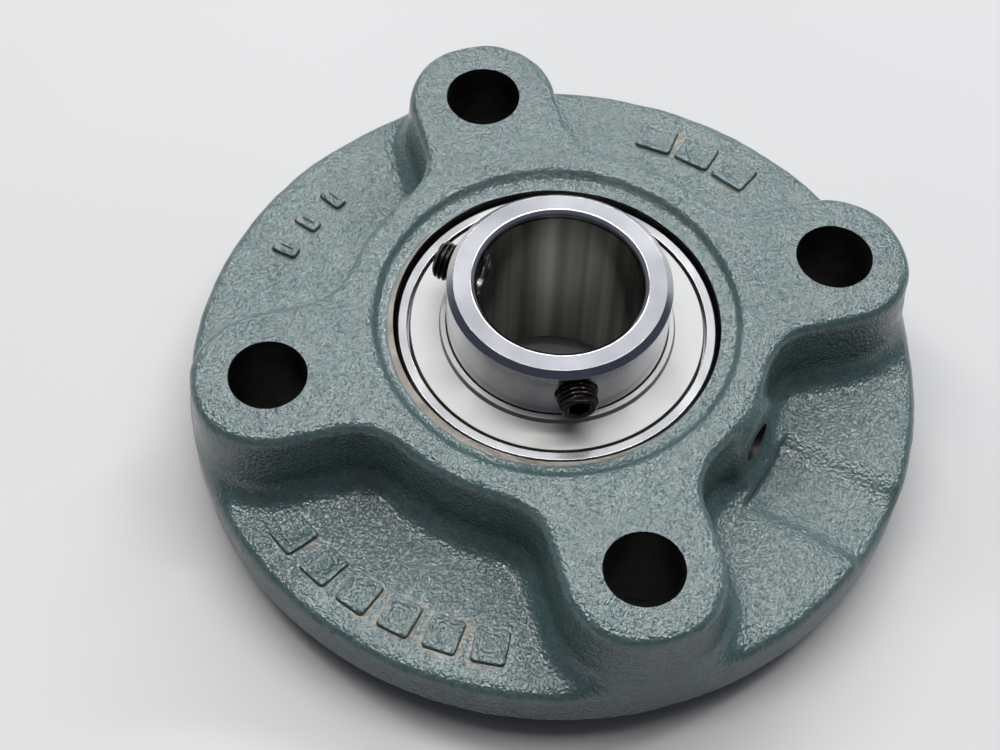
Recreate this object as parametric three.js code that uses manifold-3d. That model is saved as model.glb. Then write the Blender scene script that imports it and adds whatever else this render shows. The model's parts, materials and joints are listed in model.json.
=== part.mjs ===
// A round four-bolt flange mount bearing unit for a 25 mm shaft: a cast iron housing with a
// spherical seat, and a self-aligning ball bearing insert held in it. Millimetres, +Z up.
// The origin is on the bearing axis, at the end face of the locating spigot.
import * as THREE from "three";
import { mergeVertices } from "three/addons/utils/BufferGeometryUtils.js";
import Module from "manifold-3d";

const wasm = await Module();
wasm.setup();

// ---------------------------------------------------------------- driving dimensions

const FLANGE_RADIUS = 57.5;
const FLANGE_THICKNESS = 7;
const RIM_ROUNDING = 2;
const SPIGOT_RADIUS = 35;
const SPIGOT_HEIGHT = 6;
const SPIGOT_CHAMFER = 0.8;
const FLANGE_TOP = SPIGOT_HEIGHT + FLANGE_THICKNESS;

const EAR_COUNT = 4;
const BOLT_CIRCLE_RADIUS = 45;
const BOLT_HOLE_RADIUS = 6;
const FIRST_EAR_ANGLE = Math.PI / 4;

const PLATEAU_TOP = 27; // top of the boss and the ears
const BOSS_RADIUS = 33.2;
const EAR_HALF_WIDTH = 12;
const CROOK_RADIUS = 5; // concave corner between boss and ear, seen from above
const SHARPEST_CROOK = 0.4;
const TOP_ROUNDING = 1.8;
const BASE_FILLET = 4.5; // casting fillet between the raised walls and the flange
const DRAFT = THREE.MathUtils.degToRad(4);

const SEAT_RADIUS = 26.2; // sphere that the insert swivels in
const SEAT_MOUTH_RADIUS = 24.6; // bore on the spigot side
const SEAT_MOUTH_CHAMFER = 1;
const SEAT_RELIEF_START = 7; // height above the bearing centre where the sphere ends
const RECESS_INNER_RADIUS = 25.2;
const RECESS_OUTER_RADIUS = 27.6;
const RECESS_DEPTH = 1.5;
const RECESS_WALL_SLOPE = 0.4; // run outwards per rise
const GREASE_GROOVE_WIDTH = 3;
const GREASE_GROOVE_DEPTH = 0.8;

const LOADING_SLOT_HALF_WIDTH = 8.9; // lets the insert enter edge on from the spigot side
const LOADING_SLOT_REACH = 26.4;

const GREASE_HOLE_RADIUS = 3.1;
const GREASE_HOLE_HEIGHT = 19;
const GREASE_PAD_RADIUS = 6.2;
const GREASE_PAD_FACE = 34.9; // distance of the pad's flat face from the bearing axis
const CHANNEL_DEPTH = 1.7; // channel in the flange that leaves room for a grease fitting
const CHANNEL_FLOOR_HALF_WIDTH = 4.8;
const CHANNEL_TOP_HALF_WIDTH = 8.2;
const CHANNEL_START = 37.5;

const MARK_HEIGHT = 0.6; // plain raised foundry marks on the flange
const MARK_ROWS = [
  { from: 248.2, step: 8.1, count: 6, radius: 50.1, length: 5.6, width: 5 },
  { from: 81.5, step: 8.5, count: 3, radius: 50, length: 5.4, width: 6 },
  { from: 168.3, step: 7.5, count: 3, radius: 48.9, length: 4.2, width: 2.2 },
];

const BEARING_CENTRE = 16; // height of the ball plane above the spigot end face
const OUTER_SPHERE_RADIUS = 26;
const OUTER_RING_HALF_WIDTH = 8.5;
const OUTER_RING_CHAMFER = 0.4;
const OUTER_SHOULDER_RADIUS = 21.7;
const SEAL_SEAT_RADIUS = 23;
const SEAL_SEAT_DEPTH = 2.6;
const OILWAY_RADIUS = 1.1;
const OILWAY_HEIGHT = 4.6;

const BORE_RADIUS = 12.5;
const INNER_RING_RADIUS = 17;
const INNER_RING_BOTTOM = -14.3;
const INNER_RING_TOP = 19.8;
const BORE_CHAMFER = 0.9;
const COLLAR_CHAMFER = 1;

const BALL_COUNT = 9;
const BALL_RADIUS = 7.938 / 2;
const PITCH_RADIUS = 19.5;
const RACE_CLEARANCE = 0.15;

const CAGE_INNER_RADIUS = 18.3;
const CAGE_OUTER_RADIUS = 20.7;
const CAGE_THICKNESS = 0.6;
const CAGE_SPLIT = 0.05; // half of the gap between the two cage halves
const CAGE_POCKET_RADIUS = BALL_RADIUS + 0.23;
const RIVET_RADIUS = 0.45;
const RIVET_HOLE_RADIUS = 0.65;
const RIVET_HEAD_RADIUS = 0.95;
const RIVET_HEAD_HEIGHT = 0.5;
const RIVET_HEAD_GAP = 0.1;

const SEAL_HEIGHT = 6.1; // lower face of the seal core above the ball plane
const SEAL_SHEET = 0.45;
const SEAL_CORE_INNER = 18.25;
const SEAL_CORE_OUTER = 22.8;
const SEAL_RIM_HEIGHT = 1.2;
const SEAL_LIP_INNER = 17.2;
const SEAL_LIP_OUTER = 18.1;
const SEAL_LIP_RISE = 0.5;

const SLINGER_INNER = 17.2;
const SLINGER_HUB = 18;
const SLINGER_OUTER = 22.7;
const SLINGER_EDGE_TOP = 8.3;
const SLINGER_HUB_TOP = 8.6;
const SLINGER_LIP_TOP = 9.6;
const SLINGER_SHEET = 0.4;

const SCREW_RADIUS = 3; // M6 set screw
const SCREW_HOLE_RADIUS = 3.3;
const SCREW_LENGTH = 6.5;
const SCREW_END_RADIUS = 19.8; // how far out the socket end stands
const SCREW_HEIGHT = INNER_RING_TOP - 5;
const SCREW_CHAMFER = 0.6;
const SOCKET_ACROSS_FLATS = 3;
const SOCKET_DEPTH = 3;
const SCREW_ANGLES = [308, 188].map(THREE.MathUtils.degToRad);

const PIN_RADIUS = 1.25;
const PIN_INNER_END = 24.5;
const PIN_OUTER_END = 27.4;
const PIN_HOLE_RADIUS = 1.5;
const PIN_HOLE_FLOOR = 24.2;
const PIN_SLOT_HALF_WIDTH = 1.55;
const PIN_SLOT_FLOOR = 27.8;
const PIN_SLOT_TOP = 2.5;

const RIM_SEGMENTS = 72;
const RING_SEGMENTS = 48;
const HOLE_SEGMENTS = 24;
const PAST = 1; // how far a cutting tool runs past the face it leaves

// ---------------------------------------------------------------- materials

const paintedIron = new THREE.MeshStandardMaterial({ color: 0x66807d, roughness: 0.42, metalness: 0 });
const groundSteel = new THREE.MeshStandardMaterial({ color: 0xc9c9cc, roughness: 0.22, metalness: 1 });
const turnedSteel = new THREE.MeshStandardMaterial({ color: 0xb9babd, roughness: 0.34, metalness: 1 });
const sheetSteel = new THREE.MeshStandardMaterial({ color: 0xb4b6b6, roughness: 0.38, metalness: 1 });
const ballSteel = new THREE.MeshStandardMaterial({ color: 0xd8d8da, roughness: 0.08, metalness: 1 });
const sealRubber = new THREE.MeshStandardMaterial({ color: 0x1b1c1e, roughness: 0.7, metalness: 0 });
const blackOxide = new THREE.MeshStandardMaterial({ color: 0x1c1a19, roughness: 0.4, metalness: 0.8 });

// ---------------------------------------------------------------- solids

/** A closed three.js geometry as a solid that can be joined and cut. */
function solid(geometry) {
  const bare = geometry.clone();
  bare.deleteAttribute("normal");
  bare.deleteAttribute("uv");
  const merged = mergeVertices(bare, 1e-4);
  const made = new wasm.Manifold(
    new wasm.Mesh({
      numProp: 3,
      vertProperties: merged.attributes.position.array,
      triVerts: new Uint32Array(merged.index.array),
    }),
  );
  if (made.volume() >= 0) return made;
  return solid(turnedInsideOut(merged));
}

function turnedInsideOut(geometry) {
  const index = Array.from(geometry.index.array);
  for (let i = 0; i < index.length; i += 3) [index[i + 1], index[i + 2]] = [index[i + 2], index[i + 1]];
  return geometry.clone().setIndex(index);
}

/** A named mesh from a solid. */
function meshOf(name, made, material) {
  const { numProp, vertProperties, triVerts } = made.getMesh();
  const positions = new Float32Array((vertProperties.length / numProp) * 3);
  for (let i = 0; i < positions.length / 3; i++) {
    positions.set(vertProperties.subarray(i * numProp, i * numProp + 3), i * 3);
  }
  const geometry = new THREE.BufferGeometry();
  geometry.setAttribute("position", new THREE.BufferAttribute(positions, 3));
  geometry.setIndex(new THREE.BufferAttribute(new Uint32Array(triVerts), 1));
  const mesh = new THREE.Mesh(geometry, material);
  mesh.name = name;
  return mesh;
}

/** A profile of [radius, height] points turned round the Z axis. The profile closes on itself. */
function turned(profile, segments = RING_SEGMENTS) {
  const points = [...profile, profile[0]].map(([radius, height]) => new THREE.Vector2(radius, height));
  return solid(new THREE.LatheGeometry(points, segments).rotateX(Math.PI / 2));
}

/** A cylinder from z = bottom to z = top. */
function upright(radius, bottom, top, segments = HOLE_SEGMENTS) {
  const geometry = new THREE.CylinderGeometry(radius, radius, top - bottom, segments);
  return solid(geometry.rotateX(Math.PI / 2).translate(0, 0, (bottom + top) / 2));
}

/** A cylinder along the X axis, at the given height. */
function alongX(radius, start, end, height, segments = HOLE_SEGMENTS) {
  const geometry = new THREE.CylinderGeometry(radius, radius, end - start, segments);
  return solid(geometry.rotateZ(-Math.PI / 2).translate((start + end) / 2, 0, height));
}

function block(sizeX, sizeY, bottom, top) {
  return solid(new THREE.BoxGeometry(sizeX, sizeY, top - bottom).translate(0, 0, (bottom + top) / 2));
}

function turnedAboutZ(made, angle) {
  return made.rotate([0, 0, THREE.MathUtils.radToDeg(angle)]);
}

/** Points of an arc as [x, y] pairs, both ends included. */
function arc(centreX, centreY, radius, from, to, steps) {
  return Array.from({ length: steps + 1 }, (_, i) => {
    const angle = from + ((to - from) * i) / steps;
    return [centreX + radius * Math.cos(angle), centreY + radius * Math.sin(angle)];
  });
}

/** A solid through a stack of level outlines that all have the same number of points. */
function lofted(levels) {
  const count = levels[0].outline.length;
  const positions = levels.flatMap(({ outline, z }) => outline.flatMap(([x, y]) => [x, y, z]));
  const index = [];
  for (let level = 0; level + 1 < levels.length; level++) {
    for (let i = 0; i < count; i++) {
      const a = level * count + i;
      const b = level * count + ((i + 1) % count);
      index.push(a, b, b + count, a, b + count, a + count);
    }
  }
  const capOf = ({ outline }) => {
    return THREE.ShapeUtils.triangulateShape(outline.map(([x, y]) => new THREE.Vector2(x, y)), []);
  };
  for (const [a, b, c] of capOf(levels[0])) index.push(a, c, b);
  const last = (levels.length - 1) * count;
  for (const [a, b, c] of capOf(levels.at(-1))) index.push(last + a, last + b, last + c);
  const geometry = new THREE.BufferGeometry();
  geometry.setAttribute("position", new THREE.Float32BufferAttribute(positions, 3));
  geometry.setIndex(index);
  return solid(geometry);
}

// ---------------------------------------------------------------- housing

/** The outline of boss and ears together, moved outwards by the offset, counterclockwise. */
function raisedOutline(offset) {
  const bossRadius = BOSS_RADIUS + offset;
  const halfWidth = EAR_HALF_WIDTH + offset;
  const crook = Math.max(CROOK_RADIUS - offset, SHARPEST_CROOK);
  const crookY = halfWidth + crook;
  const crookX = Math.sqrt((bossRadius + crook) ** 2 - crookY ** 2);
  const spread = Math.atan2(crookY, crookX); // angle from the ear's axis to where the boss arc ends
  const quarter = Math.PI / 2;
  const oneEar = [
    ...arc(crookX, -crookY, crook, Math.PI - spread, quarter, 4),
    ...arc(BOLT_CIRCLE_RADIUS, 0, halfWidth, -quarter, quarter, 14),
    ...arc(crookX, crookY, crook, -quarter, spread - Math.PI, 4),
    ...arc(0, 0, bossRadius, spread, quarter - spread, 6).slice(1, -1),
  ];
  return Array.from({ length: EAR_COUNT }, (_, ear) => {
    const angle = FIRST_EAR_ANGLE + (ear * 2 * Math.PI) / EAR_COUNT;
    const cos = Math.cos(angle);
    const sin = Math.sin(angle);
    return oneEar.map(([x, y]) => [x * cos - y * sin, x * sin + y * cos]);
  }).flat();
}

/** Boss and ears: drafted walls, a rounded top edge and a fillet at the foot. */
function raisedBody() {
  const draftAt = (z) => (PLATEAU_TOP - z) * Math.tan(DRAFT);
  const wallTop = PLATEAU_TOP - TOP_ROUNDING;
  const wallFoot = FLANGE_TOP + BASE_FILLET;
  const foot = arc(draftAt(wallFoot) + BASE_FILLET, wallFoot, BASE_FILLET, -Math.PI / 2, -Math.PI, 3);
  const shoulder = arc(draftAt(wallTop) - TOP_ROUNDING, wallTop, TOP_ROUNDING, 0, Math.PI / 2, 3);
  const rooted = [foot[0][0], FLANGE_TOP - PAST];
  const levels = [rooted, ...foot, ...shoulder];
  return lofted(levels.map(([offset, z]) => ({ outline: raisedOutline(offset), z })));
}

/** The flange disc with its rounded rim, and the locating spigot under it. */
function flangeAndSpigot() {
  const rim = arc(FLANGE_RADIUS - RIM_ROUNDING, FLANGE_TOP - RIM_ROUNDING, RIM_ROUNDING, 0, Math.PI / 2, 3);
  return turned(
    [
      [0, 0],
      [SPIGOT_RADIUS - SPIGOT_CHAMFER, 0],
      [SPIGOT_RADIUS, SPIGOT_CHAMFER],
      [SPIGOT_RADIUS, SPIGOT_HEIGHT],
      [FLANGE_RADIUS, SPIGOT_HEIGHT],
      ...rim,
      [0, FLANGE_TOP],
    ],
    RIM_SEGMENTS,
  );
}

/** The space inside the housing: spherical seat, grease groove, mouths on both sides, recess. */
function seatSpace() {
  const reliefRadius = Math.sqrt(SEAT_RADIUS ** 2 - SEAT_RELIEF_START ** 2);
  const grooveHeight = GREASE_HOLE_HEIGHT - BEARING_CENTRE;
  const grooveLow = Math.asin((grooveHeight - GREASE_GROOVE_WIDTH / 2) / SEAT_RADIUS);
  const grooveHigh = Math.asin((grooveHeight + GREASE_GROOVE_WIDTH / 2) / SEAT_RADIUS);
  const mouthAngle = -Math.acos(SEAT_MOUTH_RADIUS / SEAT_RADIUS);
  const reliefAngle = Math.asin(SEAT_RELIEF_START / SEAT_RADIUS);
  const grooveRadius = SEAT_RADIUS + GREASE_GROOVE_DEPTH;
  const recessFloor = PLATEAU_TOP - RECESS_DEPTH;
  return turned([
    [0, -PAST],
    [SEAT_MOUTH_RADIUS + SEAT_MOUTH_CHAMFER + PAST, -PAST],
    [SEAT_MOUTH_RADIUS, SEAT_MOUTH_CHAMFER],
    ...arc(0, BEARING_CENTRE, SEAT_RADIUS, mouthAngle, grooveLow, 4),
    ...arc(0, BEARING_CENTRE, grooveRadius, grooveLow, grooveHigh, 1),
    ...arc(0, BEARING_CENTRE, SEAT_RADIUS, grooveHigh, reliefAngle, 1).slice(0, 1),
    [reliefRadius, BEARING_CENTRE + SEAT_RELIEF_START],
    [RECESS_INNER_RADIUS, recessFloor],
    [RECESS_OUTER_RADIUS, recessFloor],
    [RECESS_OUTER_RADIUS + (RECESS_DEPTH + PAST) * RECESS_WALL_SLOPE, PLATEAU_TOP + PAST],
    [0, PLATEAU_TOP + PAST],
  ]);
}

/** The shallow channel in the flange, running out along +X from the grease hole. */
function greaseChannel() {
  const top = FLANGE_TOP + PAST;
  const floor = FLANGE_TOP - CHANNEL_DEPTH;
  const bankSlope = (CHANNEL_TOP_HALF_WIDTH - CHANNEL_FLOOR_HALF_WIDTH) / CHANNEL_DEPTH;
  const halfWidthAt = (z) => CHANNEL_FLOOR_HALF_WIDTH + (z - floor) * bankSlope;
  const level = (z) => {
    const half = halfWidthAt(z);
    const start = CHANNEL_START + (FLANGE_TOP - z);
    const end = FLANGE_RADIUS + PAST;
    return { z, outline: [[start, -half], [end, -half], [end, half], [start, half]] };
  };
  return lofted([level(floor), level(top)]);
}

/** Low plain blocks cast on the flange, in rows that follow the rim. Angles in degrees. */
function foundryMarks() {
  const marks = [];
  for (const { from, step, count, radius, length, width } of MARK_ROWS) {
    for (let i = 0; i < count; i++) {
      const mark = block(length, width, FLANGE_TOP - PAST, FLANGE_TOP + MARK_HEIGHT);
      marks.push(mark.translate([radius, 0, 0]).rotate([0, 0, from + i * step]));
    }
  }
  return marks;
}

function boltHoles() {
  const hole = upright(BOLT_HOLE_RADIUS, -PAST, PLATEAU_TOP + PAST).translate([BOLT_CIRCLE_RADIUS, 0, 0]);
  return Array.from({ length: EAR_COUNT }, (_, ear) => {
    return turnedAboutZ(hole, FIRST_EAR_ANGLE + (ear * 2 * Math.PI) / EAR_COUNT);
  });
}

function loadingSlots() {
  return block(2 * LOADING_SLOT_REACH, 2 * LOADING_SLOT_HALF_WIDTH, -PAST, BEARING_CENTRE);
}

/** Upright slot in the seat that the locking pin slides in, open to the spigot side. */
function pinSlot() {
  const slot = block(2 * PIN_SLOT_HALF_WIDTH, PIN_SLOT_FLOOR, -PAST, BEARING_CENTRE + PIN_SLOT_TOP);
  return slot.translate([0, PIN_SLOT_FLOOR / 2, 0]);
}

function housing() {
  const rimColumn = upright(FLANGE_RADIUS, SPIGOT_HEIGHT, PLATEAU_TOP + PAST, RIM_SEGMENTS);
  const alignedColumn = turnedAboutZ(rimColumn, Math.PI / 2);
  let made = flangeAndSpigot().subtract(greaseChannel());
  made = made.add(raisedBody().intersect(alignedColumn));
  made = made.add(alongX(GREASE_PAD_RADIUS, BOSS_RADIUS - 3, GREASE_PAD_FACE, GREASE_HOLE_HEIGHT));
  for (const mark of foundryMarks()) made = made.add(mark);
  made = made.subtract(seatSpace());
  made = made.subtract(loadingSlots());
  made = made.subtract(pinSlot());
  made = made.subtract(
    alongX(GREASE_HOLE_RADIUS, PITCH_RADIUS, GREASE_PAD_FACE + PAST, GREASE_HOLE_HEIGHT, HOLE_SEGMENTS / 2),
  );
  for (const hole of boltHoles()) made = made.subtract(hole);
  return made;
}

// ---------------------------------------------------------------- bearing rings
// From here on heights are measured from the ball plane.

/** The race groove's arc where it crosses the given shoulder radius. */
function raceArc(shoulderRadius, steps) {
  const radius = BALL_RADIUS + RACE_CLEARANCE;
  const reach = Math.acos(Math.abs(shoulderRadius - PITCH_RADIUS) / radius);
  const middle = shoulderRadius > PITCH_RADIUS ? 0 : Math.PI;
  return arc(PITCH_RADIUS, 0, radius, middle - reach, middle + reach, steps);
}

function outerRing() {
  const half = OUTER_RING_HALF_WIDTH;
  const faceAngle = Math.asin((half - OUTER_RING_CHAMFER) / OUTER_SPHERE_RADIUS);
  const faceRadius = OUTER_SPHERE_RADIUS * Math.cos(faceAngle) - OUTER_RING_CHAMFER;
  const seatFloor = half - SEAL_SEAT_DEPTH;
  const ring = turned([
    [faceRadius, -half],
    ...arc(0, 0, OUTER_SPHERE_RADIUS, -faceAngle, faceAngle, 6),
    [faceRadius, half],
    [SEAL_SEAT_RADIUS, half],
    [SEAL_SEAT_RADIUS, seatFloor],
    [OUTER_SHOULDER_RADIUS, seatFloor],
    ...raceArc(OUTER_SHOULDER_RADIUS, 6).reverse(),
    [OUTER_SHOULDER_RADIUS, -seatFloor],
    [SEAL_SEAT_RADIUS, -seatFloor],
    [SEAL_SEAT_RADIUS, -half],
  ]);
  const oilway = alongX(OILWAY_RADIUS, PITCH_RADIUS, OUTER_SPHERE_RADIUS + PAST, OILWAY_HEIGHT, 8);
  const pinHole = alongX(PIN_HOLE_RADIUS, PIN_HOLE_FLOOR, OUTER_SPHERE_RADIUS + PAST, 0, 12);
  return ring.subtract(oilway).subtract(turnedAboutZ(pinHole, Math.PI / 2));
}

function innerRing() {
  const footChamfer = COLLAR_CHAMFER / 2;
  const ring = turned([
    [BORE_RADIUS, INNER_RING_BOTTOM + BORE_CHAMFER],
    [BORE_RADIUS + BORE_CHAMFER, INNER_RING_BOTTOM],
    [INNER_RING_RADIUS - footChamfer, INNER_RING_BOTTOM],
    [INNER_RING_RADIUS, INNER_RING_BOTTOM + footChamfer],
    ...raceArc(INNER_RING_RADIUS, 6).reverse(),
    [INNER_RING_RADIUS, INNER_RING_TOP - COLLAR_CHAMFER],
    [INNER_RING_RADIUS - COLLAR_CHAMFER, INNER_RING_TOP],
    [BORE_RADIUS + BORE_CHAMFER, INNER_RING_TOP],
    [BORE_RADIUS, INNER_RING_TOP - BORE_CHAMFER],
  ]);
  return SCREW_ANGLES.reduce((made, angle) => {
    const hole = alongX(SCREW_HOLE_RADIUS, BORE_RADIUS / 2, INNER_RING_RADIUS + PAST, SCREW_HEIGHT, 16);
    return made.subtract(turnedAboutZ(hole, angle));
  }, ring);
}

// ---------------------------------------------------------------- balls and cage

function ball() {
  return solid(new THREE.SphereGeometry(BALL_RADIUS, 12, 8).rotateX(Math.PI / 2));
}

/** One pressed half of the cage: a flat ribbon that arches over each ball. Side is +1 or -1. */
function cageHalf(side) {
  const stepsPerPocket = 10;
  const pitch = (2 * Math.PI) / BALL_COUNT;
  const pocketHalfAngle = Math.asin((CAGE_POCKET_RADIUS + CAGE_THICKNESS) / PITCH_RADIUS);
  const archHeight = (radius, along) => Math.sqrt(Math.max(radius ** 2 - along ** 2, 0));
  const positions = [];
  for (let ballIndex = 0; ballIndex < BALL_COUNT; ballIndex++) {
    for (let step = 0; step <= stepsPerPocket; step++) {
      const local = pocketHalfAngle * ((2 * step) / stepsPerPocket - 1);
      const angle = ballIndex * pitch + local;
      const along = PITCH_RADIUS * Math.sin(local);
      const near = Math.max(CAGE_SPLIT, archHeight(CAGE_POCKET_RADIUS, along));
      const far = Math.max(CAGE_SPLIT + CAGE_THICKNESS, archHeight(CAGE_POCKET_RADIUS + CAGE_THICKNESS, along));
      const corners = [
        [CAGE_INNER_RADIUS, near],
        [CAGE_OUTER_RADIUS, near],
        [CAGE_OUTER_RADIUS, far],
        [CAGE_INNER_RADIUS, far],
      ];
      for (const [radius, height] of corners) {
        positions.push(radius * Math.cos(angle), radius * Math.sin(angle), side * height);
      }
    }
  }
  const sections = positions.length / 12;
  const index = [];
  for (let section = 0; section < sections; section++) {
    for (let corner = 0; corner < 4; corner++) {
      const a = section * 4 + corner;
      const b = section * 4 + ((corner + 1) % 4);
      const c = ((section + 1) % sections) * 4 + ((corner + 1) % 4);
      const d = ((section + 1) % sections) * 4 + corner;
      index.push(a, b, c, a, c, d);
    }
  }
  const geometry = new THREE.BufferGeometry();
  geometry.setAttribute("position", new THREE.Float32BufferAttribute(positions, 3));
  geometry.setIndex(index);
  const hole = upright(RIVET_HOLE_RADIUS, -PAST, PAST, 8).translate([PITCH_RADIUS, 0, 0]);
  return Array.from({ length: BALL_COUNT }, (_, i) => (i + 0.5) * pitch).reduce(
    (made, angle) => made.subtract(turnedAboutZ(hole, angle)),
    solid(geometry),
  );
}

/** A rivet with a flat head on each side of the cage. */
function rivet() {
  const gripHalf = CAGE_SPLIT + CAGE_THICKNESS + RIVET_HEAD_GAP;
  const endHalf = gripHalf + RIVET_HEAD_HEIGHT;
  return turned(
    [
      [0, -endHalf],
      [RIVET_HEAD_RADIUS, -endHalf],
      [RIVET_HEAD_RADIUS, -gripHalf],
      [RIVET_RADIUS, -gripHalf],
      [RIVET_RADIUS, gripHalf],
      [RIVET_HEAD_RADIUS, gripHalf],
      [RIVET_HEAD_RADIUS, endHalf],
      [0, endHalf],
    ],
    8,
  );
}

// ---------------------------------------------------------------- seals, screws and pin

/** Mirrors a half profile to the side of the ball plane that it belongs to. */
function onSide(side, profile) {
  return profile.map(([radius, height]) => [radius, side * height]);
}

/** Pressed steel seal ring with an upturned rim that grips the outer ring. */
function sealCore(side) {
  const top = SEAL_HEIGHT + SEAL_SHEET;
  return turned(
    onSide(side, [
      [SEAL_CORE_INNER, SEAL_HEIGHT],
      [SEAL_CORE_OUTER, SEAL_HEIGHT],
      [SEAL_CORE_OUTER, SEAL_HEIGHT + SEAL_RIM_HEIGHT],
      [SEAL_CORE_OUTER - SEAL_SHEET, SEAL_HEIGHT + SEAL_RIM_HEIGHT],
      [SEAL_CORE_OUTER - SEAL_SHEET, top],
      [SEAL_CORE_INNER, top],
    ]),
  );
}

/** Rubber lip that wipes the inner ring. */
function sealLip(side) {
  return turned(
    onSide(side, [
      [SEAL_LIP_OUTER, SEAL_HEIGHT],
      [SEAL_LIP_OUTER, SEAL_HEIGHT + SEAL_SHEET],
      [SEAL_LIP_INNER, SEAL_HEIGHT + SEAL_SHEET + SEAL_LIP_RISE],
      [SEAL_LIP_INNER, SEAL_HEIGHT + SEAL_LIP_RISE],
    ]),
  );
}

/** Slightly coned disc that turns with the inner ring and throws dirt outwards. */
function slinger(side) {
  return turned(
    onSide(side, [
      [SLINGER_INNER, SLINGER_HUB_TOP - SLINGER_SHEET],
      [SLINGER_OUTER, SLINGER_EDGE_TOP - SLINGER_SHEET],
      [SLINGER_OUTER, SLINGER_EDGE_TOP],
      [SLINGER_HUB, SLINGER_HUB_TOP],
      [SLINGER_HUB, SLINGER_LIP_TOP],
      [SLINGER_INNER, SLINGER_LIP_TOP],
    ]),
  );
}

/** Headless set screw along +X with its socket end at the origin. */
function setScrew() {
  const tip = -SCREW_LENGTH;
  const body = turned(
    [
      [0, tip],
      [SCREW_RADIUS - SCREW_CHAMFER, tip],
      [SCREW_RADIUS, tip + SCREW_CHAMFER],
      [SCREW_RADIUS, -SCREW_CHAMFER],
      [SCREW_RADIUS - SCREW_CHAMFER, 0],
      [0, 0],
    ],
    16,
  );
  const socketRadius = SOCKET_ACROSS_FLATS / Math.sqrt(3);
  const socket = upright(socketRadius, -SOCKET_DEPTH, PAST, 6);
  return body.subtract(socket).rotate([0, 90, 0]);
}

function lockingPin() {
  return alongX(PIN_RADIUS, PIN_INNER_END, PIN_OUTER_END, 0, 12);
}

// ---------------------------------------------------------------- assembly

const unit = new THREE.Group();
unit.add(meshOf("housing", housing(), paintedIron));

const insert = new THREE.Group();
insert.position.z = BEARING_CENTRE;
unit.add(insert);

insert.add(meshOf("outer_ring", outerRing(), turnedSteel));
insert.add(meshOf("inner_ring", innerRing(), groundSteel));

for (let i = 0; i < BALL_COUNT; i++) {
  const ballAngle = (i * 2 * Math.PI) / BALL_COUNT;
  const rivetAngle = ((i + 0.5) * 2 * Math.PI) / BALL_COUNT;
  const ballMesh = meshOf(`ball_${i + 1}`, ball(), ballSteel);
  ballMesh.position.set(PITCH_RADIUS * Math.cos(ballAngle), PITCH_RADIUS * Math.sin(ballAngle), 0);
  const rivetMesh = meshOf(`cage_rivet_${i + 1}`, rivet(), sheetSteel);
  rivetMesh.position.set(PITCH_RADIUS * Math.cos(rivetAngle), PITCH_RADIUS * Math.sin(rivetAngle), 0);
  insert.add(ballMesh, rivetMesh);
}

for (const [place, side] of [["upper", 1], ["lower", -1]]) {
  insert.add(meshOf(`${place}_cage_half`, cageHalf(side), sheetSteel));
  insert.add(meshOf(`${place}_seal_core`, sealCore(side), sheetSteel));
  insert.add(meshOf(`${place}_seal_lip`, sealLip(side), sealRubber));
  insert.add(meshOf(`${place}_slinger`, slinger(side), sheetSteel));
}

SCREW_ANGLES.forEach((angle, i) => {
  const screw = meshOf(`set_screw_${i + 1}`, setScrew(), blackOxide);
  screw.position.set(SCREW_END_RADIUS * Math.cos(angle), SCREW_END_RADIUS * Math.sin(angle), SCREW_HEIGHT);
  screw.rotation.z = angle;
  insert.add(screw);
});

const pin = meshOf("locking_pin", lockingPin(), groundSteel);
pin.rotation.z = Math.PI / 2;
insert.add(pin);

export default unit;
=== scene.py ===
"""The looks of a round four-bolt flange mount bearing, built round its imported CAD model.

Lengths inside the builders are millimetres; meshes are handed to Blender in metres.
"""
import json
import math

import bpy
import numpy as np
import openvdb as vdb
from mathutils import Matrix, Vector


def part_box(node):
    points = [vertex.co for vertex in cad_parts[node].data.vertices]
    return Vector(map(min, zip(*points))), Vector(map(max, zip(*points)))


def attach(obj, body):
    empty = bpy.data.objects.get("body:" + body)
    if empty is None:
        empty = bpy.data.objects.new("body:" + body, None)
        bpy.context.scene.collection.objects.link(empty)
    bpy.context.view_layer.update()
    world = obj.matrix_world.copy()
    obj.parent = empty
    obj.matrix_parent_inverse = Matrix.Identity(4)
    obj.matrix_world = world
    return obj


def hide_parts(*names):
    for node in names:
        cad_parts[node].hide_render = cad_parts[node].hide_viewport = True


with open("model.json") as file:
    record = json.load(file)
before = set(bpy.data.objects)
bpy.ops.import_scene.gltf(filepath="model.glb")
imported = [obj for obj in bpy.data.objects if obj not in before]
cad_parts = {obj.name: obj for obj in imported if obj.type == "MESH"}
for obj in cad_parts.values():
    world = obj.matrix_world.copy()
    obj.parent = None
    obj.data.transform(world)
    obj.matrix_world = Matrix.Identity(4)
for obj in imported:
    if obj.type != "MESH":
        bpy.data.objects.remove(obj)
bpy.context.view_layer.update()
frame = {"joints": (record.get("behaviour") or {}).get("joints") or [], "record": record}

MM = 0.001
EDGE_SUPPORT = 0.02  # keeps the shading of flat faces flat up to a rounding


def box_mm(node):
    """The two corners of a CAD node's box, in millimetres."""
    low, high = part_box(node)
    return low / MM, high / MM


def joint_named(name):
    return next(joint for joint in frame["joints"] if joint["name"] == name)


# ---------------------------------------------------------------- sizes from the frame

HOUSING_HIGH = box_mm("housing")[1]
FLANGE_RADIUS = HOUSING_HIGH.y
PLATEAU_TOP = HOUSING_HIGH.z
BEARING_CENTRE = joint_named("shaft_spin")["pos_m"][2] / MM
MOUNTS = {mount["name"]: Vector(mount["pos_m"]) / MM for mount in frame["record"]["mounts"]}
MOUNTING_FACE = MOUNTS["mounting_face"].z
INNER_LOW, INNER_HIGH = box_mm("inner_ring")
OUTER_LOW, OUTER_HIGH = box_mm("outer_ring")
INNER_RING_RADIUS = INNER_HIGH.y
OUTER_SPHERE_RADIUS = OUTER_HIGH.x

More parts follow.
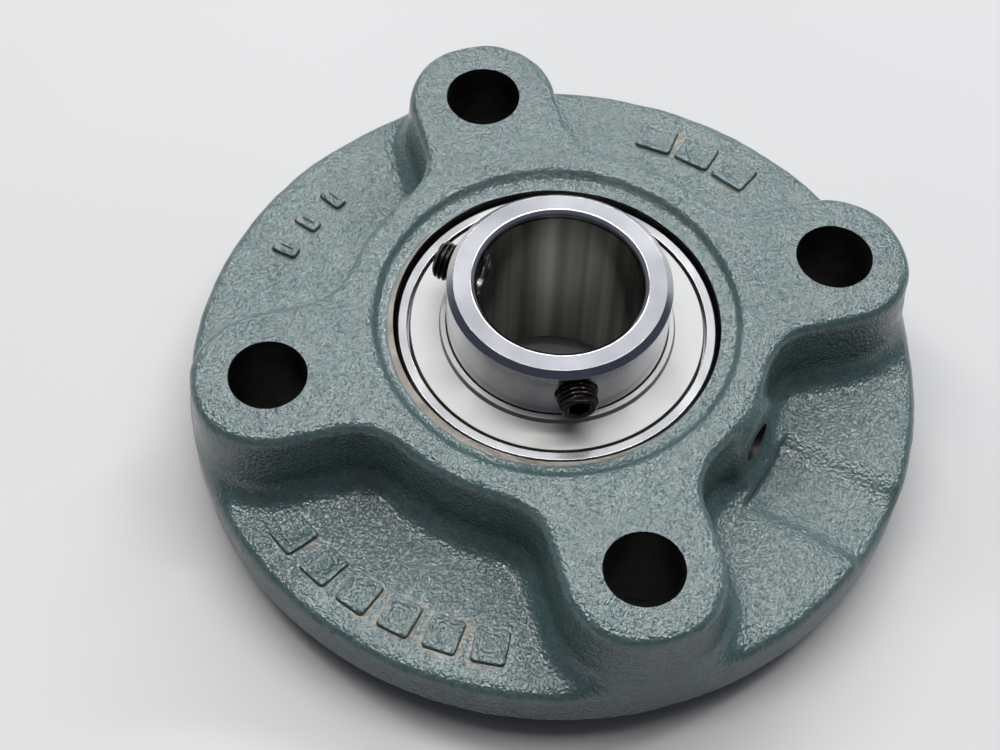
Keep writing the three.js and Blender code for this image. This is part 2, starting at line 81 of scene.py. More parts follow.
# ---------------------------------------------------------------- details of the housing

FLANGE_TOP = MOUNTING_FACE + 7
SPIGOT_RADIUS = 35
SPIGOT_CHAMFER = 0.8
BOLT_CIRCLE_RADIUS = 45
BOLT_HOLE_RADIUS = 6
BOSS_RADIUS = 33.2
EAR_HALF_WIDTH = 12
CROOK_RADIUS = 5
TOP_ROUNDING = 1.8
RIM_ROUNDING = 2
BASE_FILLET = 4.5
DRAFT = math.radians(4)
SEAT_RADIUS = OUTER_SPHERE_RADIUS + 0.2
SEAT_MOUTH_RADIUS = 24.6
SEAT_MOUTH_CHAMFER = 1
SEAT_RELIEF_START = 7
RECESS_INNER_RADIUS = 25.2
RECESS_OUTER_RADIUS = 27.6
RECESS_DEPTH = 1.5
RECESS_WALL_SLOPE = 0.4  # run outwards per rise
RECESS_ROUNDING = 0.7
GREASE_GROOVE_WIDTH = 3
GREASE_GROOVE_DEPTH = 0.8
CORE_RADIUS = 20  # of the hole left by the sand core, before the seat is machined
PAST = 1  # how far a cutting tool runs past the face it leaves
LOADING_SLOT_HALF_WIDTH = 8.9
LOADING_SLOT_REACH = 26.4
PIN_SLOT_HALF_WIDTH = 1.55
PIN_SLOT_FLOOR = 27.8
PIN_SLOT_TOP = 2.5
GREASE_HOLE_RADIUS = 3.1
GREASE_HOLE_HEIGHT = 19
GREASE_PAD_RADIUS = 6.2
GREASE_PAD_FACE = 34.9
CHANNEL_DEPTH = 1.7
CHANNEL_FLOOR_HALF_WIDTH = 4.8
CHANNEL_TOP_HALF_WIDTH = 8.2
CHANNEL_START = 37.5
CHANNEL_ROUNDING = 0.5
MARK_HEIGHT = 0.6
MARK_ROWS = [
    {"start": 248.2, "step": 8.1, "count": 6, "radius": 50.1, "length": 5.6, "width": 5},
    {"start": 81.5, "step": 8.5, "count": 3, "radius": 50, "length": 5.4, "width": 6},
    {"start": 168.3, "step": 7.5, "count": 3, "radius": 48.9, "length": 4.2, "width": 2.2},
]
MARK_DISH = 0.25
MARK_CORNER = 0.6
MARK_LEVELS = [  # outward growth of a mark's outline, and height above the flange
    (0.3, -0.5), (0.1, 0.1), (0, MARK_HEIGHT - 0.2), (-0.06, MARK_HEIGHT - 0.06), (-0.2, MARK_HEIGHT),
    (-0.75, MARK_HEIGHT), (-1.05, MARK_HEIGHT - MARK_DISH),
]
MARK_FOOT_WIDTH = 0.55
BORED_SLOT = 1  # place in the housing's materials of the iron left by boring and drilling
FACED_SLOT = 2  # place of the iron left by facing the mounting side
CASTING_SHARP_ANGLE = 38
VOXEL = 0.45
SKIN_UNEVENNESS = [(0.02, 0.55, 11), (0.045, 1.6, 12)]  # depth, feature size and seed
SKIN_ALLOWANCE = 0.06  # keeps the uneven skin inside the housing's nominal size
EAR_ANGLES = [math.radians(45 + 90 * ear) for ear in range(4)]

PITCH_RADIUS = 19.5
BALL_COUNT = 9
BALL_RADIUS = 7.938 / 2
RACE_CLEARANCE = 0.15
RACE_REACH = 0.91  # half of the angle that the inner race wraps round a ball, in radians
OUTER_RACE_REACH = 0.57
BORE_RADIUS = 12.5
BORE_CHAMFER = 0.9
COLLAR_CHAMFER = 1
HUB_SEAT = 10.2
OUTER_SHOULDER_RADIUS = 21.7
SEAL_SEAT_RADIUS = 23.05
SEAL_SEAT_DEPTH = 2.6
OILWAY_RADIUS = 1.1
OILWAY_HEIGHT = 4.6
OILWAY_FLOOR = 18  # in the space between the rings, where the oilway's drill stops
DRILL_START = 30  # outside the outer ring, where its drills start
SEAL_HEIGHT = 6.1  # heights of seals and slingers are above or below the ball plane
SEAL_SHEET = 0.45
SEAL_RIM_TOP = 7.3
SEAL_CORE_INNER = 18.25
SEAL_CORE_OUTER = 22.75
SEAL_LIP_OUTER = 18.1
SEAL_LIP_INNER = 17.12
SEAL_LIP_TOP = 7.05
SLINGER_INNER = 17.12
SLINGER_HUB = 18.0
SLINGER_OUTER = 22.55
SLINGER_EDGE_LOW = 7.5
SLINGER_EDGE_TOP = 8.3
SLINGER_HUB_TOP = 9.5
SCREW_RADIUS = 2.96
SCREW_ROOT = 2.45
SCREW_PITCH = 0.75
SCREW_LENGTH = 6.5
SCREW_CHAMFER = 0.55
SCREW_END_RADIUS = 19.8
SCREW_HEIGHT = INNER_HIGH.z - 5
SCREW_CUP_RADIUS = 1.3
SCREW_CUP_RIM_RADIUS = 1.5
SCREW_CUP_DEPTH = 0.5
SCREW_END_GAP = 0.05  # between a screw's end face and the start of its thread
SOCKET_MOUTH_RADIUS = 1.85
SOCKET_ACROSS_FLATS = 3
SOCKET_DEPTH = 3
THREAD_STEPS = 10
TAPPED_RADIUS = 3.3
TAPPED_CHAMFER = 0.2
CAGE_INNER_RADIUS = 18.3
CAGE_OUTER_RADIUS = 20.7
CAGE_THICKNESS = 0.6
CAGE_SPLIT = 0.05
CAGE_POCKET_RADIUS = BALL_RADIUS + 0.23
RIVET_RADIUS = 0.45
RIVET_HEAD_RADIUS = 0.95
RIVET_GRIP = 0.75  # half of the length between a rivet's heads
PIN_RADIUS = 1.25
PIN_HOLE_RADIUS = 1.5
PIN_HOLE_FLOOR = 24.2

PAINT_LIGHT = (0.076, 0.122, 0.121)
PAINT_DARK = (0.055, 0.098, 0.098)
# deep tone of the random mottling in the paint; the same colour is the painted shade at the foot of each
# raised mark
PAINT_DEEP_TONE_AND_SHADE = (0.020, 0.043, 0.046)
GRIME = (0.13, 0.115, 0.06)
BARE_IRON_DARK = (0.13, 0.115, 0.10)
BARE_IRON_LIGHT = (0.21, 0.195, 0.175)
# painted shade: the iron inside the bolt holes, slots and seat is coloured near black for the shade that
# lies in them
BORED_IRON_SHADE_DARK = (0.036, 0.034, 0.033)
BORED_IRON_SHADE_LIGHT = (0.095, 0.088, 0.082)
# painted shade and painted reflection: the bore of the inner ring is coloured darker than the ring, in bands
# that stand in for reflected light
BORE_SHADE_DARK = (0.13, 0.13, 0.12)
BORE_REFLECTION_LIGHT = (0.43, 0.42, 0.39)
GRAIN_BY_SLOPE = [  # how far a face points up, and the strength of the cast grain on it
    (0.15, (0.85, 0.85, 0.85)), (0.4, (0.45, 0.45, 0.45)), (0.9, (0.4, 0.4, 0.4)), (0.985, (1, 1, 1)),
]
THIN_PAINT_SIDE = math.radians(250)
THIN_PAINT_WIDTH = 1.1


# ---------------------------------------------------------------- mesh helpers

def object_from(name, vertices, faces, materials, sharp_angle=32, body=None, node=None, slot=None):
    """A mesh object from points in millimetres. It rides on a body and stands for a CAD node."""
    mesh = bpy.data.meshes.new(name)
    points = np.asarray(vertices, float) * MM
    mesh.from_pydata(points.tolist(), [], [list(face) for face in faces])
    for material in materials:
        mesh.materials.append(material)
    mesh.shade_smooth()
    mesh.set_sharp_from_angle(angle=math.radians(sharp_angle))
    made = bpy.data.objects.new(name, mesh)
    bpy.context.scene.collection.objects.link(made)
    if body:
        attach(made, body)
    if node:
        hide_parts(node)
    return made


def grid_faces(rows, columns, close_rows=False, offset=0):
    """Quads of a grid whose columns wrap round, and whose rows may wrap too."""
    row = np.arange(rows if close_rows else rows - 1)
    column = np.arange(columns)
    r, c = np.meshgrid(row, column, indexing="ij")
    next_r = (r + 1) % rows
    next_c = (c + 1) % columns
    this_row = r * columns
    next_row = next_r * columns
    quads = np.stack([this_row + c, this_row + next_c, next_row + next_c, next_row + c], -1)
    return quads.reshape(-1, 4) + offset


def rounded_profile(corners, steps=5):
    """A closed profile of (radius, height, rounding) corners, with each corner rounded."""
    points = []
    count = len(corners)
    for i, (r, z, rounding) in enumerate(corners):
        here = np.array([r, z], float)
        if rounding <= 0:
            points.append(here)
            continue
        to_last = np.array(corners[i - 1][:2], float) - here
        to_next = np.array(corners[(i + 1) % count][:2], float) - here
        to_last /= np.linalg.norm(to_last)
        to_next /= np.linalg.norm(to_next)
        half = math.acos(np.clip(to_last @ to_next, -1, 1)) / 2
        reach = rounding / math.tan(half)
        middle = to_last + to_next
        centre = here + middle / np.linalg.norm(middle) * rounding / math.sin(half)
        start = here + to_last * reach - centre
        end = here + to_next * reach - centre
        sweep = math.atan2(start[0] * end[1] - start[1] * end[0], start @ end)
        points.append(centre + start + to_last * EDGE_SUPPORT)
        for k in range(steps + 1):
            angle = sweep * k / steps
            turn = np.array([[math.cos(angle), -math.sin(angle)], [math.sin(angle), math.cos(angle)]])
            points.append(centre + turn @ start)
        points.append(centre + end + to_next * EDGE_SUPPORT)
    return np.array(points)


def arc_points(centre, radius, start, end, steps):
    angles = np.linspace(start, end, steps + 1)
    return np.stack([centre[0] + radius * np.cos(angles), centre[1] + radius * np.sin(angles)], -1)


def turned_mesh(profile, segments, height=0.0):
    """Points and quads of a closed profile turned round Z, with its faces pointing out."""
    profile = np.asarray(profile, float)
    area = np.sum(profile[:, 0] * np.roll(profile[:, 1], -1) - np.roll(profile[:, 0], -1) * profile[:, 1])
    if area < 0:
        profile = profile[::-1]
    angles = np.linspace(0, 2 * math.pi, segments, endpoint=False)
    x = profile[:, :1] * np.cos(angles)
    y = profile[:, :1] * np.sin(angles)
    z = np.repeat(profile[:, 1:] + height, segments, 1)
    vertices = np.stack([x, y, z], -1).reshape(-1, 3)
    return vertices, grid_faces(len(profile), segments, close_rows=True)


# ---------------------------------------------------------------- housing as a distance field

def round_union(a, b, radius):
    """The union of two distance fields, with a fillet where they meet."""
    reach = np.hypot(np.maximum(radius - a, 0), np.maximum(radius - b, 0))
    return np.maximum(radius, np.minimum(a, b)) - reach


def round_common(a, b, radius):
    """What two distance fields have in common, with its edge rounded."""
    reach = np.hypot(np.maximum(radius + a, 0), np.maximum(radius + b, 0))
    return np.minimum(-radius, np.maximum(a, b)) + reach


def smooth_noise(shape, feature, seed):
    """Blurred white noise with a mean of 0 and a deviation of 1. Feature is in millimetres."""
    white = np.random.default_rng(seed).standard_normal(shape).astype(np.float32)
    spectrum = np.fft.rfftn(white)
    sigma = feature / VOXEL
    for axis, size in enumerate(shape):
        last = axis == len(shape) - 1
        frequency = np.fft.rfftfreq(size) if last else np.fft.fftfreq(size)
        fade = np.exp(-2 * (math.pi * sigma * frequency) ** 2)
        spectrum *= fade.reshape([-1 if k == axis else 1 for k in range(len(shape))])
    blurred = np.fft.irfftn(spectrum, shape, axes=range(len(shape))).astype(np.float32)
    return blurred / blurred.std()


def raised_plan(x, y):
    """Distance from the outline of boss and ears at their top, in plan."""
    u = np.abs(x + y) * math.sqrt(0.5)
    v = np.abs(x - y) * math.sqrt(0.5)
    along, across = np.maximum(u, v), np.minimum(u, v)
    ear = np.hypot(np.maximum(along - BOLT_CIRCLE_RADIUS, 0), across) - EAR_HALF_WIDTH
    boss = np.hypot(x, y) - BOSS_RADIUS
    return round_union(boss, ear, CROOK_RADIUS)


def mark_places():
    """Each raised mark's row and angle."""
    for row in MARK_ROWS:
        for i in range(row["count"]):
            yield row, math.radians(row["start"] + i * row["step"])


def marks_plan(x, y):
    """Distance from the nearest raised mark's outline, in plan."""
    nearest = np.full(np.broadcast(x, y).shape, 1e3)
    for row, angle in mark_places():
        along = np.abs(x * math.cos(angle) + y * math.sin(angle) - row["radius"]) - row["length"] / 2
        across = np.abs(y * math.cos(angle) - x * math.sin(angle)) - row["width"] / 2
        nearest = np.minimum(nearest, round_common(along, across, MARK_CORNER))
    return nearest


def mark_mesh(row, angle):
    """Points and faces of one raised mark: a plain block with rounded corners and a dished top."""
    turn = np.linspace(0, 2 * math.pi, 24, endpoint=False) + math.pi / 24
    quadrant = np.sign(np.stack([np.cos(turn), np.sin(turn)], -1))
    half = np.array([row["length"], row["width"]]) / 2
    loops = []
    for growth, rise in MARK_LEVELS:
        corner = max(MARK_CORNER + growth, 0.15)
        centre = np.maximum(half + growth - corner, 0.02)
        outline = quadrant * centre + corner * np.stack([np.cos(turn), np.sin(turn)], -1)
        x = row["radius"] + outline[:, 0]
        y = outline[:, 1]
        loops.append(np.stack([
            x * math.cos(angle) - y * math.sin(angle),
            x * math.sin(angle) + y * math.cos(angle),
            np.full(len(turn), FLANGE_TOP + rise),
        ], -1))
    return loops_mesh(loops)


def recess_space(z, rho):
    """The cast recess round the insert, with its sloping wall."""
    floor = PLATEAU_TOP - RECESS_DEPTH
    wall = (rho - RECESS_OUTER_RADIUS - (z - floor) * RECESS_WALL_SLOPE) / math.hypot(1, RECESS_WALL_SLOPE)
    return round_common(wall, floor - z, RECESS_ROUNDING)


def housing_field(x, y, z):
    """Distance from the surface of the casting before it is machined, negative inside."""
    rho = np.hypot(x, y)
    wall = (raised_plan(x, y) - (PLATEAU_TOP - z) * math.tan(DRAFT)) * math.cos(DRAFT)
    raised = round_common(wall, z - PLATEAU_TOP, TOP_ROUNDING)
    pad = round_common(np.hypot(y, z - GREASE_HOLE_HEIGHT) - GREASE_PAD_RADIUS, x - GREASE_PAD_FACE, 1.0)
    raised = round_union(raised, np.maximum(pad, BOSS_RADIUS / 2 - x), 2.5)

    floor = FLANGE_TOP - CHANNEL_DEPTH
    bank_slope = (CHANNEL_TOP_HALF_WIDTH - CHANNEL_FLOOR_HALF_WIDTH) / CHANNEL_DEPTH
    bank = (np.abs(y) - CHANNEL_FLOOR_HALF_WIDTH - (z - floor) * bank_slope) / math.hypot(1, bank_slope)
    channel = round_common(np.maximum(bank, CHANNEL_START - x), floor - z, CHANNEL_ROUNDING)
    disc = round_common(z - FLANGE_TOP, -channel, CHANNEL_ROUNDING)
    body = round_union(disc, raised, BASE_FILLET)
    body = round_common(body, rho - FLANGE_RADIUS, RIM_ROUNDING)
    body = round_common(body, -recess_space(z, rho), RECESS_ROUNDING)
    return np.maximum(np.maximum(body, CORE_RADIUS - rho), -PAST - z)


def housing_mesh():
    """Points and faces of the uncut housing, from its distance field with the cast skin's unevenness."""
    margin = 2 * VOXEL
    low = np.array([-FLANGE_RADIUS, -FLANGE_RADIUS, -PAST]) - margin + VOXEL * 0.37
    high = np.array([FLANGE_RADIUS, FLANGE_RADIUS, PLATEAU_TOP]) + margin
    counts = np.ceil((high - low) / VOXEL).astype(int)
    axes = [low[k] + VOXEL * np.arange(counts[k]) for k in range(3)]
    x, y, z = axes[0][:, None, None], axes[1][None, :, None], axes[2][None, None, :]
    field = housing_field(x, y, z)
    unevenness = sum(depth * smooth_noise(counts, feature, seed) for depth, feature, seed in SKIN_UNEVENNESS)
    field = field + unevenness + SKIN_ALLOWANCE
    grid = vdb.FloatGrid()
    grid.background = float(field.max())
    grid.copyFromArray(field.astype(np.float32))
    points, triangles, quads = grid.convertToPolygons(isovalue=0.0, adaptivity=0.003)
    vertices = low + points.astype(float) * VOXEL
    rho = np.hypot(vertices[:, 0], vertices[:, 1])
    inward = np.minimum(1, FLANGE_RADIUS / rho)
    vertices[:, :2] *= inward[:, None]
    vertices[:, 2] = np.minimum(vertices[:, 2], PLATEAU_TOP)
    faces = [face[::-1] for face in triangles.tolist()] + [face[::-1] for face in quads.tolist()]
    return vertices, faces


def bare_distance(x, y):
    """How far out a place lies from the edge of the paint round the seat."""
    toward_thin_side = np.cos(np.arctan2(y, x) - THIN_PAINT_SIDE)
    return np.hypot(x, y) - RECESS_INNER_RADIUS - THIN_PAINT_WIDTH * toward_thin_side


def mark_foot(x, y, z):
    """How near a place is to the foot of a raised mark: 1 at the foot, 0 away from it. It steers the painted
    shade there.
    """
    nearness = 1 - np.abs(marks_plan(x, y)) / MARK_FOOT_WIDTH
    return np.where(z < FLANGE_TOP + MARK_HEIGHT / 2, np.clip(nearness, 0, 1), 0)


def add_attribute(made, name, values):
    attribute = made.data.attributes.new(name, "FLOAT", "POINT")
    attribute.data.foreach_set("value", np.asarray(values, np.float32))


def seat_tool():
    """Points and faces of the ring that machines the seat, its groove and its two mouths."""
    groove_height = GREASE_HOLE_HEIGHT - BEARING_CENTRE
    groove_low = math.asin((groove_height - GREASE_GROOVE_WIDTH / 2) / SEAT_RADIUS)
    groove_high = math.asin((groove_height + GREASE_GROOVE_WIDTH / 2) / SEAT_RADIUS)
    mouth_angle = -math.acos(SEAT_MOUTH_RADIUS / SEAT_RADIUS)
    relief_angle = math.asin(SEAT_RELIEF_START / SEAT_RADIUS)
    centre = (0, BEARING_CENTRE)
    inside = CORE_RADIUS - PAST
    profile = [
        (inside, -PAST),
        (SEAT_MOUTH_RADIUS + SEAT_MOUTH_CHAMFER + PAST, -PAST),
        (SEAT_MOUTH_RADIUS, SEAT_MOUTH_CHAMFER),
        *arc_points(centre, SEAT_RADIUS, mouth_angle, groove_low, 30),
        *arc_points(centre, SEAT_RADIUS + GREASE_GROOVE_DEPTH, groove_low, groove_high, 4),
        *arc_points(centre, SEAT_RADIUS, groove_high, relief_angle, 8),
        (RECESS_INNER_RADIUS, PLATEAU_TOP - RECESS_DEPTH),
        (RECESS_INNER_RADIUS, PLATEAU_TOP + PAST),
        (inside, PLATEAU_TOP + PAST),
    ]
    return turned_mesh(profile, 192)


def mounting_tool():
    """Points and faces of the ring that machines the mounting face and the spigot."""
    low = -3 * PAST
    inside = CORE_RADIUS - PAST
    outside = FLANGE_RADIUS + PAST
    profile = [
        (inside, low), (outside, low), (outside, MOUNTING_FACE), (SPIGOT_RADIUS, MOUNTING_FACE),
        (SPIGOT_RADIUS, SPIGOT_CHAMFER), (SPIGOT_RADIUS - SPIGOT_CHAMFER, 0), (inside, 0),
    ]
    return turned_mesh(profile, 192)


def box_mesh(low, high):
    """Points and faces of an upright box between two corners."""
    outline = [(low[0], low[1]), (high[0], low[1]), (high[0], high[1]), (low[0], high[1])]
    return loops_mesh([np.array([(x, y, z) for x, y in outline]) for z in (low[2], high[2])])


def boring_tools():
    """Points and faces of each tool that cuts the seat, the holes and the slots."""
    tools = [seat_tool()]
    hole_ends = (MOUNTING_FACE - PAST, PLATEAU_TOP + PAST)
    for angle in EAR_ANGLES:
        centre = [BOLT_CIRCLE_RADIUS * math.cos(angle), BOLT_CIRCLE_RADIUS * math.sin(angle), 0]
        tools.append(loops_mesh([round_loop(BOLT_HOLE_RADIUS, z, 96) + centre for z in hole_ends]))
    reach, half = LOADING_SLOT_REACH, LOADING_SLOT_HALF_WIDTH
    tools.append(box_mesh((-reach, -half, -PAST), (reach, half, BEARING_CENTRE)))
    pin_top = BEARING_CENTRE + PIN_SLOT_TOP
    tools.append(box_mesh((-PIN_SLOT_HALF_WIDTH, CORE_RADIUS - PAST, -PAST),
                          (PIN_SLOT_HALF_WIDTH, PIN_SLOT_FLOOR, pin_top)))
    drill_ends = (CORE_RADIUS - PAST, GREASE_PAD_FACE + PAST)
    drill = loops_mesh([round_loop(GREASE_HOLE_RADIUS, r, 64) for r in drill_ends])
    tools.append((along_axis(drill[0], 0, GREASE_HOLE_HEIGHT), drill[1]))
    return tools


def build_housing(skin, bored, faced):
    vertices, faces = housing_mesh()
    finishes = [skin, bored, faced]
    made = object_from("housing_casting", vertices, faces, finishes, CASTING_SHARP_ANGLE,
                       "housing_body", "housing", "housing_iron")
    blocks = [object_from("block", *mark_mesh(row, angle), finishes) for row, angle in mark_places()]
    with_tools(made, blocks, CASTING_SHARP_ANGLE, "MANIFOLD", "UNION")
    cutters = []
    for material_index, tools in ((BORED_SLOT, boring_tools()), (FACED_SLOT, [mounting_tool()])):
        for tool_vertices, tool_faces in tools:
            cutter = object_from("cutter", tool_vertices, tool_faces, finishes)
            indices = [material_index] * len(cutter.data.polygons)
            cutter.data.polygons.foreach_set("material_index", indices)
            cutters.append(cutter)
    with_tools(made, cutters, CASTING_SHARP_ANGLE, "MANIFOLD")
    points = np.empty(3 * len(made.data.vertices), np.float32)
    made.data.vertices.foreach_get("co", points)
    x, y, z = points.reshape(-1, 3).T.astype(float) / MM
    add_attribute(made, "bare_distance", bare_distance(x, y))
    add_attribute(made, "mark_foot", mark_foot(x, y, z))


# ---------------------------------------------------------------- turned and threaded pieces

def piece(name, mesh_parts, material, body, node, slot, sharp_angle=32):
    vertices, faces = mesh_parts
    return object_from(name, vertices, faces, [material], sharp_angle, body, node, slot)


def with_tools(made, tools, sharp_angle=32, solver="EXACT", operation="DIFFERENCE"):
    """Cuts other objects out of a piece, or joins them to it, and removes them."""
    for tool in tools:
        modifier = made.modifiers.new("tool", "BOOLEAN")
        modifier.operation = operation
        modifier.solver = solver
        modifier.object = tool
    depsgraph = bpy.context.evaluated_depsgraph_get()
    cut_mesh = bpy.data.meshes.new_from_object(made.evaluated_get(depsgraph))
    made.modifiers.clear()
    made.data = cut_mesh
    for tool in tools:
        bpy.data.objects.remove(tool)
    made.data.shade_smooth()
    made.data.set_sharp_from_angle(angle=math.radians(sharp_angle))


def loops_mesh(loops, closed=False):
    """Points and faces of a tube through loops of points. Open ends are closed with a fan."""
    count = len(loops[0])
    vertices = np.concatenate(loops)
    faces = grid_faces(len(loops), count, close_rows=closed).tolist()
    if not closed:
        first, last = len(vertices), len(vertices) + 1
        vertices = np.concatenate([vertices, [loops[0].mean(0)], [loops[-1].mean(0)]])
        base = (len(loops) - 1) * count
        for i in range(count):
            after = (i + 1) % count
            faces.append([first, after, i])
            faces.append([last, base + i, base + after])
    return vertices, faces


def along_axis(vertices, angle, height):
    """Turns points built along Z so that their Z axis lies level, pointing out at an angle."""
    x, y, z = vertices.T
    outward = np.array([math.cos(angle), math.sin(angle), 0])
    across = np.array([-math.sin(angle), math.cos(angle), 0])
    return z[:, None] * outward + x[:, None] * across + y[:, None] * np.array([0, 0, 1]) + [0, 0, height]


def ridge(phase):
    """A thread's profile with flattened crests: 0 at the root and 1 at the crest."""
    triangle = 1 - np.abs(2 * (phase % 1) - 1)
    return np.clip((triangle - 0.15) / 0.6, 0, 1)


def thread_loops(root, crest, start, end, pitch, columns):
    """Loops of a threaded surface along Z, from start to end."""
    angles = np.linspace(0, 2 * math.pi, columns, endpoint=False)
    heights = np.linspace(start, end, int(abs(end - start) / pitch * THREAD_STEPS) + 1)
    loops = []
    for height in heights:
        radius = root + (crest - root) * ridge(height / pitch + angles / (2 * math.pi))
        level = np.full(columns, height)
        loops.append(np.stack([radius * np.cos(angles), radius * np.sin(angles), level], -1))
    return loops


def round_loop(radius, height, columns):
    angles = np.linspace(0, 2 * math.pi, columns, endpoint=False)
    return np.stack([radius * np.cos(angles), radius * np.sin(angles), np.full(columns, height)], -1)


def hex_loop(across_flats, height, columns):
    angles = np.linspace(0, 2 * math.pi, columns, endpoint=False)
    from_flat = (angles + math.pi / 6) % (math.pi / 3) - math.pi / 6
    radius = across_flats / 2 / np.cos(from_flat)
    return np.stack([radius * np.cos(angles), radius * np.sin(angles), np.full(columns, height)], -1)


def capped_to(loop, radius):
    """A loop drawn in to at most a given distance from the axis."""
    distance = np.hypot(loop[:, 0], loop[:, 1])
    scale = np.minimum(1, radius / distance)
    return loop * np.stack([scale, scale, np.ones(len(loop))], -1)


def screw_mesh():
    """A set screw along Z from its cup point at -length to its socket end at 0."""
    columns = 72
    chamfer = SCREW_CHAMFER
    end_face_radius = SCREW_RADIUS - chamfer - SCREW_END_GAP
    thread = thread_loops(SCREW_ROOT, SCREW_RADIUS, -SCREW_LENGTH + SCREW_END_GAP, -SCREW_END_GAP,
                          SCREW_PITCH, columns)
    tapered = []
    for loop in thread:
        height = loop[0, 2]
        from_end = min(-height, height + SCREW_LENGTH)
        tapered.append(capped_to(loop, SCREW_RADIUS - chamfer + min(from_end, chamfer)))
    start = [
        round_loop(0.3, -SCREW_LENGTH + SCREW_CUP_DEPTH, columns),
        round_loop(SCREW_CUP_RADIUS, -SCREW_LENGTH + 0.05, columns),
        round_loop(SCREW_CUP_RIM_RADIUS, -SCREW_LENGTH, columns),
        round_loop(end_face_radius, -SCREW_LENGTH, columns),
    ]
    end = [
        round_loop(end_face_radius, 0, columns),
        round_loop(SOCKET_MOUTH_RADIUS, 0, columns),
        hex_loop(SOCKET_ACROSS_FLATS, -0.2, columns),
        hex_loop(SOCKET_ACROSS_FLATS, -SOCKET_DEPTH, columns),
        round_loop(0.3, -SOCKET_DEPTH - 0.5, columns),
    ]
    return loops_mesh(start + tapered + end)


def tapped_wall_mesh(outer, root, crest, start, end, pitch):
    """A threaded lining along Z. Its outer wall is buried in the metal round it."""
    columns = 64
    inner = thread_loops(root, crest, start, end, pitch, columns)
    outside = [round_loop(outer, end, columns), round_loop(outer, start, columns)]
    vertices, faces = loops_mesh(inner + outside, closed=True)
    return vertices, [face[::-1] for face in faces]


def build_inner_ring(material):
    top = INNER_HIGH.z
    bottom = INNER_LOW.z
    race = arc_points((PITCH_RADIUS, BEARING_CENTRE), BALL_RADIUS + RACE_CLEARANCE,
                      math.pi + RACE_REACH, math.pi - RACE_REACH, 12)
    corners = [
        (BORE_RADIUS, bottom + BORE_CHAMFER, 0.15),
        (BORE_RADIUS + BORE_CHAMFER, bottom, 0.15),
        (INNER_RING_RADIUS - 0.5, bottom, 0.15),
        (INNER_RING_RADIUS, bottom + 0.5, 0.15),
        *[(r, z, 0) for r, z in race],
        (INNER_RING_RADIUS, BEARING_CENTRE + HUB_SEAT, 0),
        (INNER_RING_RADIUS, top - COLLAR_CHAMFER, 0.1),
        (INNER_RING_RADIUS - COLLAR_CHAMFER, top, 0.06),
        (BORE_RADIUS + BORE_CHAMFER, top, 0.45),
        (BORE_RADIUS, top - BORE_CHAMFER * 0.8, 1.1),
    ]
    ring = piece("wide_inner_ring", turned_mesh(rounded_profile(corners), 192), material,
                 "inner_ring_body", "inner_ring", "inner_ring_steel")
    cutters = []
    for number in (1, 2):
        angle = screw_angle(number)
        loops = [round_loop(TAPPED_RADIUS + TAPPED_CHAMFER, INNER_RING_RADIUS + 1, 48),
                 round_loop(TAPPED_RADIUS + TAPPED_CHAMFER, INNER_RING_RADIUS - 0.1, 48),
                 round_loop(TAPPED_RADIUS, INNER_RING_RADIUS - 0.1 - TAPPED_CHAMFER, 48),
                 round_loop(TAPPED_RADIUS, 6, 48)]
        vertices, faces = loops_mesh(loops[::-1])
        cutters.append(object_from("cutter", along_axis(vertices, angle, SCREW_HEIGHT), faces, []))
        lining = tapped_wall_mesh(TAPPED_RADIUS + 0.15, TAPPED_RADIUS, TAPPED_RADIUS - 0.2,
                                  BORE_RADIUS + 0.25, INNER_RING_RADIUS - 0.7, SCREW_PITCH)
        piece(f"tapped_hole_{number}", (along_axis(lining[0], angle, SCREW_HEIGHT), lining[1]), material,
              "inner_ring_body", None, "inner_ring_steel")
    with_tools(ring, cutters)


def screw_angle(number):
    axis = joint_named(f"set_screw_{number}_travel")["axis"]
    return math.atan2(axis[1], axis[0])


def build_outer_ring(material):
    top = OUTER_HIGH.z
    bottom = OUTER_LOW.z
    half = (top - bottom) / 2
    face_angle = math.asin((half - 0.35) / OUTER_SPHERE_RADIUS)
    face_radius = OUTER_SPHERE_RADIUS * math.cos(face_angle) - 0.35
    sphere = arc_points((0, BEARING_CENTRE), OUTER_SPHERE_RADIUS, -face_angle, face_angle, 40)
    race = arc_points((PITCH_RADIUS, BEARING_CENTRE), BALL_RADIUS + RACE_CLEARANCE,
                      OUTER_RACE_REACH, -OUTER_RACE_REACH, 12)
    floor = half - SEAL_SEAT_DEPTH
    corners = [
        (face_radius, bottom, 0.1),
        *[(r, z, 0) for r, z in sphere],
        (face_radius, top, 0.1),
        (SEAL_SEAT_RADIUS, top, 0.12),
        (SEAL_SEAT_RADIUS, BEARING_CENTRE + floor, 0),
        (OUTER_SHOULDER_RADIUS, BEARING_CENTRE + floor, 0.1),
        *[(r, z, 0) for r, z in race],
        (OUTER_SHOULDER_RADIUS, BEARING_CENTRE - floor, 0.1),
        (SEAL_SEAT_RADIUS, BEARING_CENTRE - floor, 0),
        (SEAL_SEAT_RADIUS, bottom, 0.12),
    ]
    ring = piece("spherical_outer_ring", turned_mesh(rounded_profile(corners), 192), material,
                 "outer_ring_body", "outer_ring", "outer_ring_steel")
    oilway = loops_mesh([
        round_loop(OILWAY_RADIUS, OILWAY_FLOOR, 24),
        round_loop(OILWAY_RADIUS, DRILL_START, 24),
    ])
    pin_hole = loops_mesh([
        round_loop(PIN_HOLE_RADIUS, PIN_HOLE_FLOOR, 32),
        round_loop(PIN_HOLE_RADIUS, DRILL_START, 32),
    ])
    cutters = [
        object_from("cutter", along_axis(oilway[0], 0, BEARING_CENTRE + OILWAY_HEIGHT), oilway[1], []),
        object_from("cutter", along_axis(pin_hole[0], math.pi / 2, BEARING_CENTRE), pin_hole[1], []),
    ]
    with_tools(ring, cutters)


def on_side(side, corners):
    """Turns heights above the ball plane into heights in the frame, on either side of it."""
    return [(r, BEARING_CENTRE + side * z, rounding) for r, z, rounding in corners]


